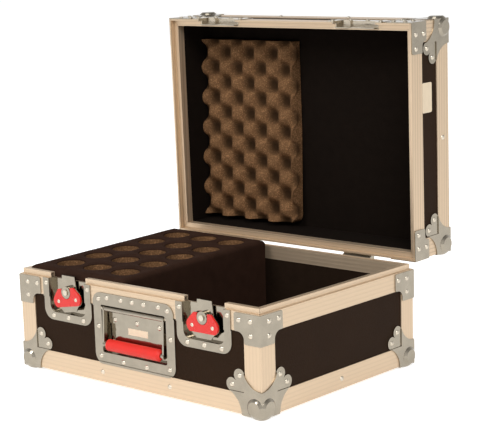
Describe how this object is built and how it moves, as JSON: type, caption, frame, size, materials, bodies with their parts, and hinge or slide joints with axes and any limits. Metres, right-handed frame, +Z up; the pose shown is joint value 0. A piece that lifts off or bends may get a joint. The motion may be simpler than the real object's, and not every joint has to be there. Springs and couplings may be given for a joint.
{
  "type": "microphone transport case",
  "caption": "Open hinged transport case with foam microphone block, accessory compartment, egg-crate lid pad, ball corners, recessed handle and butterfly latches.",
  "frame": {"origin": "middle of the floor board's underside, 6.5 mm above the surface that the ball corners stand on", "axes": "+X to the right along the front, +Y from the front to the back, +Z up"},
  "size_m": [0.505, 0.4787, 0.5331],
  "materials": {
    "laminated_plywood": "dark textured laminate",
    "edging_aluminium": "satin anodised extrusion",
    "zinc_plated_steel": "pressed, bright zinc plate",
    "chrome_steel": "bright plated",
    "red_grip": "moulded red grip",
    "red_wing": "moulded red cover",
    "lining_cloth": "dark flocked lining",
    "plush": "short dark brown plush",
    "foam": "open-cell foam",
    "label_stock": "plain label stock"
  },
  "bodies": {
    "base": {"base_back_board": "laminated_plywood", "base_ball_corners": "zinc_plated_steel", "base_bottom_edging": "edging_aluminium", "base_braces": "zinc_plated_steel", "base_floor_board": "laminated_plywood", "base_front_board": "laminated_plywood", "base_left_board": "laminated_plywood", "base_lining": "lining_cloth", "base_rail": "edging_aluminium", "base_right_board": "laminated_plywood", "base_rivets": "chrome_steel", "base_upright_edging": "edging_aluminium", "handle_dish": "zinc_plated_steel", "handle_label": "label_stock", "handle_pivot_rod": "chrome_steel", "hinge_base_leaves": "zinc_plated_steel", "hinge_pins": "chrome_steel", "latch_dish_left": "zinc_plated_steel", "latch_dish_right": "zinc_plated_steel", "latch_pivots": "chrome_steel", "mic_block_cover": "plush", "mic_block_divider": "plush", "mic_foam_block": "foam"},
    "handle": {"handle_bail": "zinc_plated_steel", "handle_grip": "red_grip"},
    "lid": {"hinge_lid_leaves": "zinc_plated_steel", "keeper_dish_left": "zinc_plated_steel", "keeper_dish_right": "zinc_plated_steel", "lid_back_board": "laminated_plywood", "lid_ball_corners": "zinc_plated_steel", "lid_braces": "zinc_plated_steel", "lid_foam_pad": "foam", "lid_front_board": "laminated_plywood", "lid_left_board": "laminated_plywood", "lid_lining": "lining_cloth", "lid_rail": "edging_aluminium", "lid_right_board": "laminated_plywood", "lid_rivets": "chrome_steel", "lid_sticker": "label_stock", "lid_top_board": "laminated_plywood", "lid_top_edging": "edging_aluminium", "lid_upright_edging": "edging_aluminium"},
    "left_latch_hook": {"latch_hook_left": "zinc_plated_steel"},
    "right_latch_hook": {"latch_hook_right": "zinc_plated_steel"},
    "left_latch_rotor": {"latch_rotor_left": "zinc_plated_steel"},
    "right_latch_rotor": {"latch_rotor_right": "zinc_plated_steel"},
    "left_latch_wing": {"latch_wing_grip_left": "red_wing", "latch_wing_left": "zinc_plated_steel", "latch_wing_rivets_left": "chrome_steel"},
    "right_latch_wing": {"latch_wing_grip_right": "red_wing", "latch_wing_right": "zinc_plated_steel", "latch_wing_rivets_right": "chrome_steel"}
  },
  "joints": [
    {"name": "lid_hinge", "type": "hinge", "parent": "base", "child": "lid", "pos_m": [0, 0.189, 0.1495], "axis": [-1, 0, 0], "range_deg": [-89, 0]},
    {"name": "handle_swing", "type": "hinge", "parent": "base", "child": "handle", "pos_m": [0, -0.179, 0.1139], "axis": [-1, 0, 0], "range_deg": [0, 90]},
    {"name": "left_latch_turn", "type": "hinge", "parent": "base", "child": "left_latch_rotor", "pos_m": [-0.14125, -0.1815, 0.1285], "axis": [0, -1, 0], "range_deg": [-10, 170]},
    {"name": "left_latch_hook_slide", "type": "slide", "parent": "base", "child": "left_latch_hook", "axis": [0, 0.6402, -0.7682], "range_m": [-0.00022, 0.00369]},
    {"name": "left_latch_wing_fold", "type": "hinge", "parent": "left_latch_rotor", "child": "left_latch_wing", "pos_m": [-0.14194, -0.182, 0.13244], "axis": [-0.9848, 0, -0.1736], "range_deg": [0, 90]},
    {"name": "right_latch_turn", "type": "hinge", "parent": "base", "child": "right_latch_rotor", "pos_m": [0.14125, -0.1815, 0.1285], "axis": [0, -1, 0], "range_deg": [0, 180]},
    {"name": "right_latch_hook_slide", "type": "slide", "parent": "base", "child": "right_latch_hook", "axis": [0, 0.6402, -0.7682], "range_m": [0, 0.00391]},
    {"name": "right_latch_wing_fold", "type": "hinge", "parent": "right_latch_rotor", "child": "right_latch_wing", "pos_m": [0.14125, -0.182, 0.1325], "axis": [-1, 0, 0], "range_deg": [0, 90]}
  ],
  "couplings": [
    {"joint": "left_latch_hook_slide", "follows": "left_latch_turn", "m_per_rad": 0.001243},
    {"joint": "right_latch_hook_slide", "follows": "right_latch_turn", "m_per_rad": 0.001243}
  ]
}
